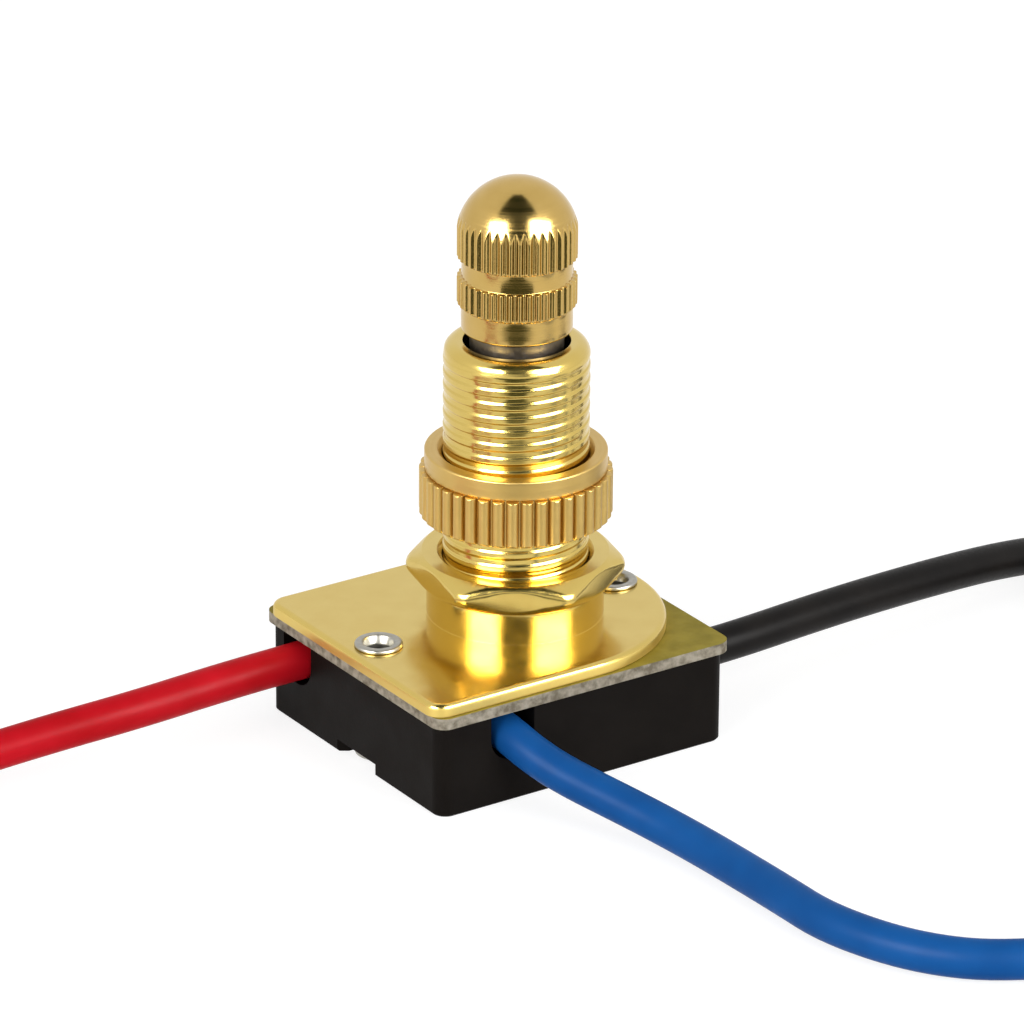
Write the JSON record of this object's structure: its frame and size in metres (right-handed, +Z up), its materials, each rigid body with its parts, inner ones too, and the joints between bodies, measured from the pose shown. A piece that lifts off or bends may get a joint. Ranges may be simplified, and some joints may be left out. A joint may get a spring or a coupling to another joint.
{
  "type": "rotary switch",
  "caption": "Panel-mount rotary lamp switch: moulded base with three wire leads, brass cover with threaded bushing, hex nut, knurled ring nut and round-topped knurled knob.",
  "frame": {"origin": "on the knob's shaft axis, at the flat underside of the moulded base", "axes": "+Z up along the shaft towards the knob, +X along the long side of the base towards the round end of the metal cover"},
  "size_m": [0.1385, 0.0695, 0.038],
  "materials": {
    "phenolic": "moulded black-brown phenolic, semi-matte",
    "rotor_moulding": "moulded, plain",
    "fibre": "vulcanised fibre, olive-yellow with a pale grey cut edge",
    "plated_steel": "bright brass plate on drawn steel",
    "turned_brass": "turned solid brass, satin",
    "steel": "plain steel, turned or rolled",
    "rivet_steel": "zinc-plated eyelet",
    "contact_brass": "stamped brass strip",
    "copper": "stranded copper",
    "red_insulation": "extruded PVC",
    "blue_insulation": "extruded PVC",
    "black_insulation": "extruded PVC"
  },
  "bodies": {
    "housing": {"base_housing": "phenolic", "insulating_plate": "fibre", "metal_cover": "plated_steel", "thrust_washer": "steel", "detent_spring_left": "steel", "detent_spring_right": "steel", "rivet_front": "rivet_steel", "rivet_rear": "rivet_steel", "red_contact": "contact_brass", "red_strands": "copper", "red_bare_end": "copper", "red_lead": "red_insulation", "red_lead_coil": "red_insulation", "blue_contact": "contact_brass", "blue_strands": "copper", "blue_bare_end": "copper", "blue_lead": "blue_insulation", "blue_lead_coil": "blue_insulation", "black_contact": "contact_brass", "black_strands": "copper", "black_bare_end": "copper", "black_lead": "black_insulation", "black_lead_coil": "black_insulation"},
    "knob": {"knob": "turned_brass", "spindle": "steel", "pressure_spring": "steel", "rotor": "rotor_moulding", "bridging_contact": "contact_brass"},
    "hex_nut": {"hex_nut": "plated_steel"},
    "ring_nut": {"ring_nut": "turned_brass"}
  },
  "joints": [
    {"name": "knob_turn", "type": "hinge", "parent": "housing", "child": "knob", "pos_m": [0, 0, 0.03], "axis": [0, 0, 1], "continuous": true},
    {"name": "hex_nut_travel", "type": "slide", "parent": "housing", "child": "hex_nut", "axis": [0, 0, 1], "range_m": [0, 0.0013]},
    {"name": "ring_nut_travel", "type": "slide", "parent": "housing", "child": "ring_nut", "axis": [0, 0, 1], "range_m": [-0.0013, 0.0075]}
  ]
}
